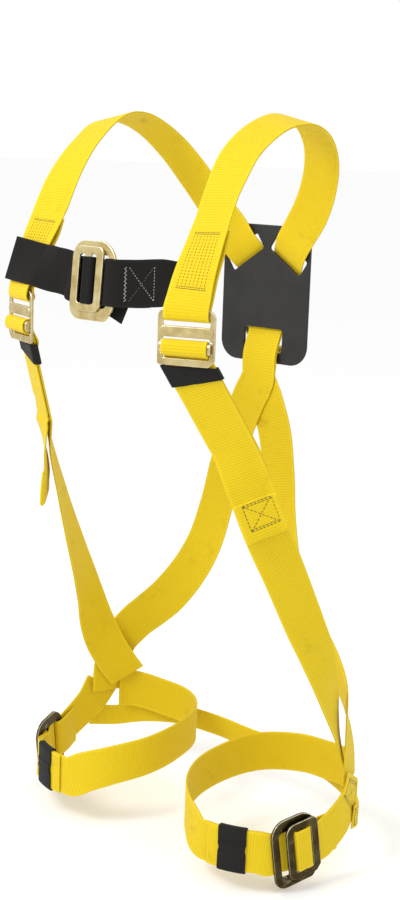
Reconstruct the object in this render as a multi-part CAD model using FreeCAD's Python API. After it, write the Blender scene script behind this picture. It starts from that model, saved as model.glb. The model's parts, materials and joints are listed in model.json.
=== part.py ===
"""Full-body fall-arrest harness in its worn shape: webbing, adjusters, buckles and dorsal D-ring.

Millimetres. +X is the wearer's left, -Y the front, +Z up. The origin is midway between the tops of
the two shoulder straps. Azimuth is measured from the front (0) towards the wearer's left (90).
"""
import FreeCAD, Part
import math
import os
from FreeCAD import Matrix, Placement, Vector

os.makedirs("parts", exist_ok=True)

# ---------------------------------------------------------------- driving dimensions
WEB_WIDTH = 45.0           # webbing, 1 3/4 inch
WEB_THICK = 2.0
SEAT_WIDTH = 25.0          # the narrower strap that joins the leg loops behind
LAYER = 2.4                # pitch of two layers of webbing that lie on each other
FIT = 0.3                  # clearance between pieces that move past each other
STEP_LENGTH = 14.0         # longest facet along a strap
RIGHT_LIFT = 8.0           # the wearer's right leg loop sits this much higher

PLATE = 3.0                # thickness of stamped steel hardware
EDGE = 0.9                 # rounding of its edges

ADJUSTER_CENTRE = (111.0, -134.0, -208.0)
ADJUSTER_AZIMUTH = 20.0
ADJUSTER_WIDTH = 57.0
ADJUSTER_TOP = 26.5
ADJUSTER_BOTTOM = -26.5
ADJUSTER_INSIDE = 46.5     # width of its windows
LOOP_WINDOW = (10.4, 18.5)
ROLL_WINDOW = (-19.5, 0.0)
BRIDGE_PROUD = 1.2         # the middle cross-piece stands this far out of the frame
BAR_HEIGHT = 11.0          # sliding bar, an oval section
BAR_THICK = 8.0
BAR_ROUND = 3.9
BAR_LENGTH = 51.0
BAR_CENTRE = (-9.3, 2.6)   # height and depth of the bar in the adjuster's own frame
BAR_TRAVEL = 1.2           # it slides up this far when the strap is let out
LOOP_FOLD = (20.2, -0.4)   # height and depth of the shoulder strap's bend round the adjuster's top bar
LOOP_FOLD_RADIUS = 4.4
LOOP_FOLD_FACETS = 6
LOOP_SPREAD = (3.4, 3.0, 2.8, 1.3, 1.3)    # each layer stands this far off the stations of FRONT

BUCKLE_WIDTH = 57.0        # large frame of a pass-through buckle
BUCKLE_HEIGHT = 76.0
BUCKLE_BAR = 9.0
TONGUE_WIDTH = 40.0        # small plate that passes through it
TONGUE_HEIGHT = 62.0
TONGUE_WINDOW = (22.0, 47.0)
TONGUE_BAR = 8.0
CHEST_BUCKLE = ((3.5, -144.0, -164.0), 0.0, 5.0, 0.0)    # centre, azimuth, elevation, tilt
LEG_BUCKLE = ((175.3, -15.7, -734.0), 74.0, 0.0, 9.0)
CHEST_TONGUE_SHIFT = -5.0
LEG_TONGUE_SHIFT = 6.0

BEHIND_BUCKLE = (-13.0, -20.0, -30.0)     # where the adjusted end runs behind the large frame
LEG_RISE = (2.0, 3.0, 4.5)  # of the leg strap's stations there
CHEST_LOOP_BACK = 12.0      # reach of the sewn ends behind the frame's bar
LEG_LOOP_BACK = 30.0
LOOP_AHEAD = 9.0            # and of the layers that leave it in front
CHEST_TAIL = [(2, -4, -2.4, 0), (20, -9, -3.2, 0), (41, -17.5, -5.4, 0)]    # in the buckle's own frame

THIGH_ARC = (34, 26, 18, 10, 2, -6)       # azimuths of the leg strap's stations round the thigh
THIGH_AXIS = (104.0, 26.0)  # of the round stretch that the leg keeper slides on
THIGH_RADIUS = 95.0
THIGH_HEIGHT = -731.5
LEG_KEEPER_AZIMUTH = 19.0
LEG_KEEPER_LENGTH = 30.0
KEEPER_THICK = 1.4
KEEPER_PLAY = 1.0

TORSO_RUN = 95.0            # straight run of the torso strap below its adjuster
TORSO_RUN_DIRECTION = (0.23, 0.47, -0.852)
TORSO_RUN_AZIMUTH = 22.0
TORSO_RUN_START = (0.0, -26.5, -9.1)      # in the adjuster's own frame
TORSO_TOP = (-7.7, -9.0, -5.6, 0.0)
TORSO_KEEPER_TOP = -27.2    # height of the keeper's level upper edge in the adjuster's own frame
TORSO_KEEPER_MIDDLE = (7.7, -44.0)        # its lower edge passes through here
TORSO_KEEPER_SLANT = 13.0   # and rises outwards at this angle

BACK_Y = 124.0              # inner face of the dorsal pad
CROSSING_Z = -190.0
PAD_SLOT_REACH = 53.0       # from the crossing to a slot of the pad, along the strap
CROSSING_LEAN = 34.0        # angle of the two straps off the vertical above the D-ring; both hang plumb below
CROSSING_PATH = (           # reach along the strap, height off the pad's inner face, share of the second layer
    (-78, -4.4, 0), (-64, -2.8, 0), (-PAD_SLOT_REACH, 1.6, 0.1), (-43, 7.6, 0.7), (-35, 13.4, 1.2), (-20, 15.3, 1.1),
    (0, 15.3, 1), (10, 15.2, 1), (22, 12.2, 1), (32, 7.9, 1), (43, 3.2, 1), (53, -1.0, 1), (64, -4.6, 1),
    (78, -5.6, 1), (92, -5.6, 1),
)
PAD_WIDTH = 118.0
PAD_HEIGHT = 150.0
PAD_THICK = 3.5
PAD_SLOT = (19.0, 50.0)
PAD_LOW_SLOT = (26.0, 52.0)
PAD_LOW_SLOT_REACH = 50.0
RING_RADIUS = 5.0           # of the D-ring's round steel
RING_HALF = 37.0
RING_CORNER = 10.0
RING_LEG = 18.0
RING_REST = 12.0            # the ring hangs this far off the back

# ---------------------------------------------------------------- strap routes, left side
# x, y, z, azimuth and elevation of the webbing's outward normal
FRONT = [
    (111, -134, -181.5, 20, 8),
    (109.5, -122, -152, 10, 18),
    (108.5, -107.5, -124, 1, 22),
    (107.5, -95.5, -99, -4, 25),
    (107, -86, -80, -3, 29),
]
SEWN_END = (108, -101, -110, 0, 23)         # where the layer behind FRONT stops
SHOULDER = [
    (106.5, -75.5, -61, 1, 37),
    (105.5, -61.5, -43, 7, 51),
    (106.5, -41, -25.5, 16, 61),
    (110, -18, -12, 26, 70),
    (112, 6, -6, 62, 76),
    (111, 28, -7, 125, 75),
    (108, 52, -16, 160, 59),
    (100, 78, -36, 165, 43),
    (86, 98, -64, 170, 27),
    (66, 112, -97, 177, 15),
]
PARTING = [
    (-10, 118.4, -303, 180, 0),
    (-25, 118.0, -340, 180, 0),
]
BACK = [
    (-37, 114.5, -385, 180, 0),
    (-46, 110, -435, 182, 0),
    (-60, 107, -482, 186, 0),
    (-80, 106, -517, 192, 0),
    (-104, 104, -548, 200, 0),
    (-131, 101, -576, 212, 0),
    (-153, 94, -600, 226, 0),
    (-167, 84, -626, 240, 0),
    (-174, 79, -655, 247, 0),
    (-176, 79, -690, 250, 0),
]
TORSO = [
    (137, -66, -352, 42, 0),
    (144, -43, -403, 48, 0),
    (151, -23, -443, 55, 0),
    (159, 7, -503, 68, 0),
    (165, 28, -545, 82, 0),
    (169, 46.5, -590, 104, 0),
    (168, 61, -622, 122, 0),
    (163, 78, -652, 134, 0),
    (158, 90.5, -670, 139, 0),
]
TAIL_END = -405.0           # the left torso tail ends just above this height
FREE_TAIL = [
    (130.5, -83.5, -328, 28, 0),
    (133, -77.5, -352, 39, 0),
    (135, -68, -391, 50, 0),
    (137, -64, -414, 50, 0),
]
LEG_HIP = [
    (184, 74, -680, 112, 4),
    (189, 62, -701, 104, 3),
    (192, 43, -715, 90, 2),
]
LEG_BACK = [
    (80, -63, -724, -16, 0),
    (56, -46, -714, -46, 0),
    (35, -8, -707, -80, 0),
    (32, 40, -702, -105, 0),
    (48, 90, -698, -140, 0),
    (88, 116, -696, -175, 0),
    (122, 113, -693, 166, 0),
    (147, 106.5, -690, 160, 0),
    (159, 101, -689, 146, 0),
    (164.9, 94.6, -689, 124, 0),
    (168.1, 87.2, -689, 113, 0),
]
SEAT = [
    (0, 138, -712, 180, 0),
    (60, 138, -712, 180, 0),
    (115, 130, -714, 165, 0),
    (155, 112, -720, 140, 0),
    (180, 92, -726, 122, 0),
    (188.5, 79, -725, 110, 0),
    (192.5, 65, -722, 101, 0),
]
CHEST_LEFT = [
    (47, -146, -163, 18, 7),
    (57, -142, -162.5, 21, 9),
    (67, -138, -161.5, 21, 11),
    (78, -133.6, -160.5, 19, 14),
    (88, -130.5, -160, 14, 29.5),
    (109.5, -124.8, -159, 12, 24),
    (127, -120.6, -158.6, 12, 18),
]
CHEST_RIGHT = [
    (34, -141, -161, 4, 6),
    (60, -138.3, -158, 10, 11),
    (86, -134.6, -155.5, 11, 29),
    (110, -129.6, -154, 11, 24),
    (137, -124.4, -152, 11, 16),
]


# ---------------------------------------------------------------- geometry helpers
def normal(azimuth, elevation):
    a, e = math.radians(azimuth), math.radians(elevation)
    return Vector(math.sin(a) * math.cos(e), -math.cos(a) * math.cos(e), math.sin(e))


def local_frame(centre, azimuth, elevation=0.0, tilt=0.0):
    """Placement whose X runs to the wearer's left, Y up and Z out of the body."""
    a, t = math.radians(azimuth), math.radians(tilt)
    out = normal(azimuth, elevation)
    level = Vector(math.cos(a), math.sin(a), 0)
    rise = out.cross(level)
    x = level * math.cos(t) + rise * math.sin(t)
    y = rise * math.cos(t) - level * math.sin(t)
    c = Vector(*centre)
    return Placement(Matrix(x.x, y.x, out.x, c.x, x.y, y.y, out.y, c.y, x.z, y.z, out.z, c.z, 0, 0, 0, 1))


def stations(rows):
    return [(Vector(x, y, z), normal(azimuth, elevation)) for x, y, z, azimuth, elevation in rows]


def raised(route, height):
    """The same route, moved out along its normals."""
    return [(p + n * height, n) for p, n in route]


def flipped(route):
    return [(Vector(-p.x, p.y, p.z), Vector(-n.x, n.y, n.z)) for p, n in route]


def placed(frame, rows):
    """Stations from rows of x, y, z and the normal's lean towards +Y, in a local frame."""
    turn = frame.Rotation
    return [
        (frame.multVec(Vector(x, y, z)), turn.multVec(Vector(0, math.sin(lean), math.cos(lean))))
        for x, y, z, lean in rows
    ]


def smooth(route, longest=STEP_LENGTH):
    """A route cut into short facets along a curve through its stations."""
    points = [p for p, _ in route]
    gaps = [(b - a).Length for a, b in zip(points, points[1:])]
    slopes = [(b - a) / g for a, b, g in zip(points, points[1:], gaps)]
    tangents = [slopes[0]]
    for before, after, gap_before, gap_after in zip(slopes, slopes[1:], gaps, gaps[1:]):
        tangents.append((before * gap_after + after * gap_before) / (gap_before + gap_after))
    tangents.append(slopes[-1])
    result = []
    for i, gap in enumerate(gaps):
        pieces = max(1, math.ceil(gap / longest))
        for k in range(pieces):
            s = k / pieces
            a, b = 2 * s**3 - 3 * s**2 + 1, 3 * s**2 - 2 * s**3
            c, d = s**3 - 2 * s**2 + s, s**3 - s**2
            point = points[i] * a + points[i + 1] * b + (tangents[i] * c + tangents[i + 1] * d) * gap
            result.append((point, route[i][1] * (1 - s) + route[i + 1][1] * s))
    return result + [route[-1]]


def ribbon(route, width=WEB_WIDTH, thick=WEB_THICK):
    """A strap as a closed solid of flat facets along a route."""
    corners = []
    for i, (point, hint) in enumerate(route):
        ahead = route[min(i + 1, len(route) - 1)][0]
        behind = route[max(i - 1, 0)][0]
        along = (ahead - behind).normalize()
        out = (hint - along * hint.dot(along)).normalize()
        side = along.cross(out) * (width / 2)
        half = out * (thick / 2)
        corners += [point + side + half, point - side + half, point - side - half, point + side - half]
    facets = [(0, 1, 2), (0, 2, 3)]
    last = len(corners) - 4
    facets += [(last, last + 2, last + 1), (last, last + 3, last + 2)]
    for base in range(0, last, 4):
        for k in range(4):
            a, b = base + k, base + (k + 1) % 4
            facets += [(a, a + 4, b + 4), (a, b + 4, b)]
    skin = Part.Shape()
    skin.makeShapeFromMesh((corners, facets), 0.01)
    solid = Part.Solid(Part.Shell(skin.Faces))
    if solid.Volume < 0:
        solid.reverse()
    return solid


def outline(corners):
    """A closed wire through corners of x, y and radius."""
    points = [Vector(x, y, 0) for x, y, _ in corners]
    edges, count = [], len(points)
    ends = []
    for i, (_, _, radius) in enumerate(corners):
        to_before = (points[i - 1] - points[i]).normalize()
        to_after = (points[(i + 1) % count] - points[i]).normalize()
        half = to_before.getAngle(to_after) / 2
        reach = radius / math.tan(half)
        start, end = points[i] + to_before * reach, points[i] + to_after * reach
        middle = points[i] + (to_before + to_after).normalize() * (radius / math.sin(half) - radius)
        edges.append(Part.Arc(start, middle, end).toShape())
        ends.append((start, end))
    for i in range(count):
        edges.append(Part.makeLine(ends[i][1], ends[(i + 1) % count][0]))
    return Part.Wire(Part.sortEdges(edges)[0])


def prism(corners, thick, low=0.0):
    face = Part.Face(outline(corners))
    face.translate(Vector(0, 0, low))
    return face.extrude(Vector(0, 0, thick))


def rectangle(width, height, radius, x=0.0, y=0.0):
    w, h = width / 2, height / 2
    return [(x - w, y - h, radius), (x + w, y - h, radius), (x + w, y + h, radius), (x - w, y + h, radius)]


def eased(solid, radius=EDGE):
    """The solid with every edge of its two flat faces rounded."""
    flats = [f for f in solid.Faces if f.Surface.TypeId == "Part::GeomPlane" and abs(f.normalAt(0, 0).z) > 0.99]
    edges = [e for f in flats for e in f.Edges]
    return solid.makeFillet(radius, edges)


def band(height, depth, corner, wall, length):
    """A closed band of webbing with rounded corners, its bore along X."""
    outer = prism(rectangle(depth + 2 * wall, height + 2 * wall, corner + wall), length)
    inner = prism(rectangle(depth, height, corner), length)
    return sideways(outer.cut(inner), length)


def sideways(solid, length):
    """Turns a prism along Z so that it runs along X, centred."""
    solid = solid.copy()
    solid.translate(Vector(0, 0, -length / 2))
    solid.rotate(Vector(0, 0, 0), Vector(0, 1, 0), 90)
    return solid


def sleeve(frame, inner_width, inner_depth, wall, length):
    """A flat sleeve, its bore along the local Y, centred on a frame."""
    outer = prism(rectangle(inner_width + 2 * wall, inner_depth + 2 * wall, inner_depth / 2), length, -length / 2)
    inner = prism(rectangle(inner_width, inner_depth, EDGE), length, -length / 2)
    shape = outer.cut(inner)
    shape.rotate(Vector(0, 0, 0), Vector(1, 0, 0), -90)
    shape.Placement = frame.multiply(shape.Placement)
    return shape


def write(name, shape):
    shape.exportStep(f"parts/{name}.step")


def write_pair(name, shape, lift=0.0):
    """The left piece as built, and its mirror image on the right."""
    write(name + "_left", shape)
    other = shape.mirror(Vector(0, 0, 0), Vector(1, 0, 0))
    other.translate(Vector(0, 0, lift))
    write(name + "_right", other)


def lifted(route):
    """Raises the lower end of a right-hand route to its higher leg loop."""
    result = []
    for p, n in route:
        share = min(1.0, max(0.0, (-560.0 - p.z) / 80.0))
        result.append((p + Vector(0, 0, RIGHT_LIFT * share), n))
    return result


# ---------------------------------------------------------------- torso adjusters
ADJUSTER = local_frame(ADJUSTER_CENTRE, ADJUSTER_AZIMUTH)


def adjuster_frame():
    w, top, low = ADJUSTER_WIDTH / 2, ADJUSTER_TOP, ADJUSTER_BOTTOM
    plate = prism([(-w, low, 3), (w - 6, low, 3), (w, low + 6, 3), (w, top, 8), (-w, top, 8)], PLATE, -PLATE / 2)
    for low_edge, high_edge in (LOOP_WINDOW, ROLL_WINDOW):
        height = high_edge - low_edge
        hole = rectangle(ADJUSTER_INSIDE, height, 1.2, 0, low_edge + height / 2)
        plate = plate.cut(prism(hole, PLATE * 2, -PLATE))
    notch_height = BAR_HEIGHT + BAR_TRAVEL + 2 * FIT
    notch = rectangle(BAR_LENGTH + 2 * FIT, notch_height, 1.0, 0, BAR_CENTRE[0] + BAR_TRAVEL / 2)
    plate = eased(plate.cut(prism(notch, PLATE * 2, -PLATE)))
    middle = (LOOP_WINDOW[0] + ROLL_WINDOW[1]) / 2
    height = LOOP_WINDOW[0] - ROLL_WINDOW[1] - 0.4
    bridge = prism(rectangle(ADJUSTER_WIDTH - 4, height, 5.0, 0, middle), PLATE / 2 + BRIDGE_PROUD)
    top_edges = [e for e in bridge.Edges if e.BoundBox.ZMin > PLATE / 2 + BRIDGE_PROUD - 0.01]
    return plate.fuse(bridge.makeFillet(0.6, top_edges)).removeSplitter()


def adjuster_bar():
    section = prism(rectangle(BAR_THICK, BAR_HEIGHT, BAR_ROUND), BAR_LENGTH)
    end_edges = [e for f in section.Faces if abs(f.normalAt(0, 0).z) > 0.99 for e in f.Edges]
    bar = sideways(section.makeFillet(0.8, end_edges), BAR_LENGTH)
    bar.translate(Vector(0, *BAR_CENTRE))
    return bar


def adjuster_roll():
    roll = band(BAR_HEIGHT + 0.2, BAR_THICK + 0.2, BAR_ROUND, WEB_THICK, WEB_WIDTH)
    roll.translate(Vector(0, *BAR_CENTRE))
    return roll


def torso_run(height, start=0.0):
    """The straight stretch that the torso strap and its tail share, raised off the main strap."""
    origin = ADJUSTER.multVec(Vector(*TORSO_RUN_START))
    direction = Vector(*TORSO_RUN_DIRECTION).normalize()
    hint = normal(TORSO_RUN_AZIMUTH, 0)
    out = (hint - direction * hint.dot(direction)).normalize()
    return [(origin + direction * s + out * height, out) for s in (start, start + 7, 14, TORSO_RUN - 14, TORSO_RUN)]


def torso_keeper():
    """An elastic sleeve round both layers, its ends cut to lie level under the adjuster."""
    (start, out), (further, _) = torso_run((LAYER + FIT) / 2)[:2]
    direction = (further - start).normalize()
    side = out.cross(direction)
    along = Placement(Matrix(side.x, -direction.x, out.x, start.x, side.y, -direction.y, out.y, start.y,
                             side.z, -direction.z, out.z, start.z, 0, 0, 0, 1))
    depth = LAYER + FIT + WEB_THICK + KEEPER_PLAY
    tube = sleeve(along, WEB_WIDTH + KEEPER_PLAY, depth, KEEPER_THICK, 2 * TORSO_RUN)
    reach = ADJUSTER_WIDTH
    x, y = TORSO_KEEPER_MIDDLE
    rise = math.tan(math.radians(TORSO_KEEPER_SLANT))
    ends = Part.makePolygon([
        Vector(-reach, TORSO_KEEPER_TOP, -reach), Vector(reach, TORSO_KEEPER_TOP, -reach),
        Vector(reach, y + (reach - x) * rise, -reach), Vector(-reach, y - (reach + x) * rise, -reach),
        Vector(-reach, TORSO_KEEPER_TOP, -reach),
    ])
    cutter = Part.Face(ends).extrude(Vector(0, 0, 2 * reach))
    cutter.Placement = ADJUSTER
    return tube.common(cutter)


def build_torso():
    """Main strap from behind the roll to the hip, its tail and the keeper round both."""
    main = placed(ADJUSTER, [TORSO_TOP]) + torso_run(0, -11) + stations(TORSO)
    write("torso_strap_left", ribbon(smooth(main)))
    write("torso_strap_right", ribbon(smooth(lifted(flipped(main)))))

    over = torso_run(LAYER + FIT, -3)
    free = over + stations(FREE_TAIL)
    below = [(p, n) for p, n in raised(stations(TORSO), LAYER + FIT) if p.z > TAIL_END]
    write("torso_tail_left", ribbon(smooth(over + below)))
    write("torso_tail_right", ribbon(smooth(flipped(free))))
    write_pair("torso_keeper", torso_keeper())


def build_adjusters():
    for name, shape in (("adjuster_frame", adjuster_frame()), ("adjuster_bar", adjuster_bar()),
                        ("adjuster_roll", adjuster_roll())):
        shape.Placement = ADJUSTER.multiply(shape.Placement)
        write_pair(name, shape)


# ---------------------------------------------------------------- shoulder straps
def shoulder_route(layer):
    """From the sewn end behind the adjuster loop, over the shoulder, to the opposite hip."""
    base = stations(FRONT)
    behind = [(p - n * s, n) for (p, n), s in zip(base[:3] + stations([SEWN_END]), LOOP_SPREAD)]
    ahead = [(p + n * s, n) for (p, n), s in zip(base, LOOP_SPREAD)]
    fold = []
    for k in range(LOOP_FOLD_FACETS + 1):
        turn = math.pi * k / LOOP_FOLD_FACETS
        outward = Vector(0, -math.sin(turn), -math.cos(turn))
        point = Vector(0, *LOOP_FOLD) + outward * LOOP_FOLD_RADIUS
        fold.append((ADJUSTER.multVec(point), ADJUSTER.Rotation.multVec(outward)))
    # the normal turns over in the fold, so the returned end has it the other way round
    end = [(p, n * -1) for p, n in reversed(behind)]
    crossing = []
    for reach, height, share in CROSSING_PATH:
        lean = math.radians(CROSSING_LEAN if reach < 0 else 0)
        x, z = -reach * math.sin(lean), CROSSING_Z - reach * math.cos(lean)
        crossing.append((Vector(x, BACK_Y + height + layer * share * LAYER, z), Vector(0, 1, 0)))
    parting = [(p + Vector(0, layer * LAYER, 0), n) for p, n in stations(PARTING)]
    return end, fold, ahead + stations(SHOULDER) + crossing + parting + stations(BACK)


def build_shoulders():
    for side in ("left", "right"):
        end, fold, rest = shoulder_route(layer=0 if side == "left" else 1)
        route = smooth(end) + fold + smooth(rest)
        if side == "left":
            write("shoulder_strap_left", ribbon(lifted(route)))
        else:
            write("shoulder_strap_right", ribbon(flipped(route)))


# ---------------------------------------------------------------- dorsal D-ring and pad
def dorsal_pad():
    """A plate with two slanted slots above and one wide slot below, where both straps leave it."""
    pad = prism(rectangle(PAD_WIDTH, PAD_HEIGHT, 22), PAD_THICK)
    lean = math.radians(CROSSING_LEAN)
    for side in (-1, 1):
        slot = prism(rectangle(PAD_SLOT[1], PAD_SLOT[0], 3), PAD_THICK * 3, -PAD_THICK)
        slot.rotate(Vector(0, 0, 0), Vector(0, 0, 1), -side * CROSSING_LEAN)
        slot.translate(Vector(side * PAD_SLOT_REACH * math.sin(lean), PAD_SLOT_REACH * math.cos(lean), 0))
        pad = pad.cut(slot)
    low_slot = rectangle(PAD_LOW_SLOT[1], PAD_LOW_SLOT[0], 4, 0, -PAD_LOW_SLOT_REACH)
    return eased(pad.cut(prism(low_slot, PAD_THICK * 3, -PAD_THICK)), 1.0)


def dorsal_d_ring():
    """A closed D of round steel in the XY plane, its straight bar along X and its bow towards -Y."""
    r, half, corner = RING_RADIUS, RING_HALF, RING_CORNER
    z = Vector(0, 0, 1)
    bar = Part.makeCylinder(r, 2 * (half - corner), Vector(corner - half, 0, 0), Vector(1, 0, 0))
    pieces = [bar]
    for s in (-1, 1):
        start = 0 if s > 0 else 90
        bend = Part.makeTorus(corner, r, Vector(0, 0, 0), z, -180, 180, 90)
        bend.rotate(Vector(0, 0, 0), z, start)
        bend.translate(Vector(s * (half - corner), -corner, 0))
        pieces.append(bend)
        pieces.append(Part.makeCylinder(r, RING_LEG, Vector(s * half, -corner - RING_LEG, 0), Vector(0, 1, 0)))
    bow = Part.makeTorus(half, r, Vector(0, 0, 0), z, -180, 180, 180)
    bow.rotate(Vector(0, 0, 0), z, 180)
    bow.translate(Vector(0, -corner - RING_LEG, 0))
    pieces.append(bow)
    return pieces[0].multiFuse(pieces[1:]).removeSplitter()


def build_dorsal():
    pad = dorsal_pad()
    pad.Placement = local_frame((0, BACK_Y, CROSSING_Z), 180).multiply(pad.Placement)
    write("dorsal_pad", pad)
    ring = dorsal_d_ring()
    ring.rotate(Vector(0, 0, 0), Vector(1, 0, 0), -RING_REST)
    bar_y = BACK_Y + PAD_THICK + FIT + RING_RADIUS
    ring.Placement = local_frame((0, bar_y, CROSSING_Z), 180).multiply(ring.Placement)
    write("dorsal_d_ring", ring)


# ---------------------------------------------------------------- pass-through buckles
FRAME_BACK = 2.5            # depth of the large frame's inner face in the buckle's own frame
LOOP_FRONT = FRAME_BACK + PLATE + FIT + WEB_THICK / 2
LOOP_BACK = FRAME_BACK - FIT - WEB_THICK / 2


def buckle_frame():
    w, h = BUCKLE_WIDTH / 2, BUCKLE_HEIGHT / 2
    ring = [(-w, -h, 14), (w - 10, -h, 7), (w, -h + 12, 7), (w, h, 22), (-w, h, 17)]
    plate = prism(ring, PLATE, FRAME_BACK)
    hole = prism(rectangle(BUCKLE_WIDTH - 2 * BUCKLE_BAR, BUCKLE_HEIGHT - 2 * BUCKLE_BAR - 8, 4), PLATE * 4)
    return eased(plate.cut(hole))


def buckle_tongue(shift, back):
    w, h = TONGUE_WIDTH / 2, TONGUE_HEIGHT / 2
    ring = [(-w, -h, 9), (w - 6, -h, 4), (w, -h + 6, 4), (w, h, 7), (-w, h, 11)]
    plate = prism(ring, PLATE).cut(prism(rectangle(*TONGUE_WINDOW, 3), PLATE * 3, -PLATE))
    plate = eased(plate)
    bar = prism(rectangle(TONGUE_BAR, TONGUE_WINDOW[1] + 4, 1), PLATE)
    plate = plate.fuse(eased(bar)).removeSplitter()
    plate.translate(Vector(shift, 1.5, back))
    return plate


def tongue_roll(shift, back):
    """The webbing over the small plate's centre bar, a closed oval band with its bore upright."""
    roll = band(PLATE + 0.2, TONGUE_BAR + 0.2, EDGE - 0.1, WEB_THICK, WEB_WIDTH)
    roll.rotate(Vector(0, 0, 0), Vector(0, 0, 1), 90)
    roll.rotate(Vector(0, 0, 0), Vector(0, 1, 0), 90)
    roll.translate(Vector(shift, 1.5, back + PLATE / 2))
    return roll


def loop_round_bar(frame, x_bar, reach_back, reach_front, direction):
    """Stations of a strap end that wraps a buckle's upright bar, from its sewn end to its outgoing layer."""
    radius = (LOOP_FRONT - LOOP_BACK) / 2
    middle = (LOOP_FRONT + LOOP_BACK) / 2
    inner = x_bar - direction * (BUCKLE_BAR / 2 + 0.6)
    rows = [(x_bar + direction * reach_back, LOOP_BACK, -1.0), (inner, LOOP_BACK, -1.0)]
    for k in range(1, 6):
        turn = math.pi * k / 6
        rows.append((inner - direction * radius * math.sin(turn), middle - radius * math.cos(turn), None))
    rows += [(inner, LOOP_FRONT, 1.0), (x_bar + direction * reach_front, LOOP_FRONT, 1.0)]
    result = []
    for x, depth, sign in rows:
        if sign is None:
            n = Vector(x - inner, 0, depth - middle).normalize()
        else:
            n = Vector(0, 0, sign)
        result.append((frame.multVec(Vector(x, 0, depth)), frame.Rotation.multVec(n)))
    return result


def build_chest():
    frame = local_frame(*CHEST_BUCKLE)
    back = FRAME_BACK + PLATE + 0.5
    shapes = {
        "chest_buckle_frame": buckle_frame(),
        "chest_buckle_tongue": buckle_tongue(CHEST_TONGUE_SHIFT, back),
        "chest_roll": tongue_roll(CHEST_TONGUE_SHIFT, back),
    }
    for name, shape in shapes.items():
        shape.Placement = frame.multiply(shape.Placement)
        write(name, shape)
    bar = (BUCKLE_WIDTH - BUCKLE_BAR) / 2
    loop = loop_round_bar(frame, bar, CHEST_LOOP_BACK, LOOP_AHEAD, 1)
    sewn = [(p, n * -1) for p, n in raised(stations(CHEST_LEFT[:3]), -LAYER)][::-1]
    path = smooth(sewn + loop[:1]) + loop[1:-1] + smooth(loop[-1:] + stations(CHEST_LEFT))
    write("chest_strap_left", ribbon(path))

    start = placed(frame, [(x, 0, LOOP_BACK, 0) for x in BEHIND_BUCKLE])
    write("chest_strap_right", ribbon(smooth(start + flipped(stations(CHEST_RIGHT)))))
    tail = placed(frame, CHEST_TAIL)
    write("chest_tail", ribbon(smooth(tail), WEB_WIDTH - 1))


# ---------------------------------------------------------------- leg loops
def thigh_arc(azimuths, height=0.0):
    rows = []
    for azimuth in azimuths:
        a = math.radians(azimuth)
        r = THIGH_RADIUS + height
        rows.append((THIGH_AXIS[0] + r * math.sin(a), THIGH_AXIS[1] - r * math.cos(a), THIGH_HEIGHT, azimuth, 0))
    return stations(rows)


def build_legs():
    frame = local_frame(*LEG_BUCKLE)
    back = LOOP_FRONT + WEB_THICK / 2 + FIT
    for name, shape in (("leg_buckle_frame", buckle_frame()),
                        ("leg_buckle_tongue", buckle_tongue(LEG_TONGUE_SHIFT, back)),
                        ("leg_roll", tongue_roll(LEG_TONGUE_SHIFT, back))):
        shape.Placement = frame.multiply(shape.Placement)
        write_pair(name, shape, RIGHT_LIFT)

    bar = (BUCKLE_WIDTH - BUCKLE_BAR) / 2
    loop = loop_round_bar(frame, bar, LEG_LOOP_BACK, LOOP_AHEAD, 1)
    outer = loop[:-1] + smooth(loop[-1:] + stations(LEG_HIP)[::-1])
    write_pair("leg_strap_outer", ribbon(outer), RIGHT_LIFT)

    near = placed(frame, [(x, y, -LAYER / 2, 0) for x, y in zip(BEHIND_BUCKLE, LEG_RISE)])
    inner = near + thigh_arc(THIGH_ARC) + stations(LEG_BACK)
    write_pair("leg_strap_inner", ribbon(smooth(inner)), RIGHT_LIFT)
    near_tail = placed(frame, [(x, y, LAYER / 2, 0) for x, y in zip(BEHIND_BUCKLE, LEG_RISE)])
    tail = near_tail + thigh_arc(THIGH_ARC[:-1], LAYER + 0.1)
    write_pair("leg_tail", ribbon(smooth(tail)), RIGHT_LIFT)

    span = math.degrees(LEG_KEEPER_LENGTH / 2 / THIGH_RADIUS)
    middle = LAYER / 2
    wall = WEB_THICK + LAYER + KEEPER_PLAY
    azimuths = [LEG_KEEPER_AZIMUTH + span * k for k in (-1, -0.5, 0, 0.5, 1)]
    outside = ribbon(thigh_arc(azimuths, middle), WEB_WIDTH + KEEPER_PLAY + 2 * KEEPER_THICK, wall + 2 * KEEPER_THICK)
    edges = [azimuths[0] - 1] + azimuths[1:-1] + [azimuths[-1] + 1]
    inside = ribbon(thigh_arc(edges, middle), WEB_WIDTH + KEEPER_PLAY, wall)
    write_pair("leg_keeper", outside.cut(inside), RIGHT_LIFT)

    seat = stations(SEAT)
    right = [(p + Vector(0, 0, RIGHT_LIFT * abs(p.x) / SEAT[-1][0]), n) for p, n in flipped(seat[1:])]
    write("sub_pelvic_strap", ribbon(smooth(right[::-1] + seat), SEAT_WIDTH))


build_adjusters()
build_torso()
build_shoulders()
build_dorsal()
build_chest()
build_legs()
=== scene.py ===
import json
import math

import bpy
import numpy as np
from mathutils import Matrix, Vector


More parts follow.
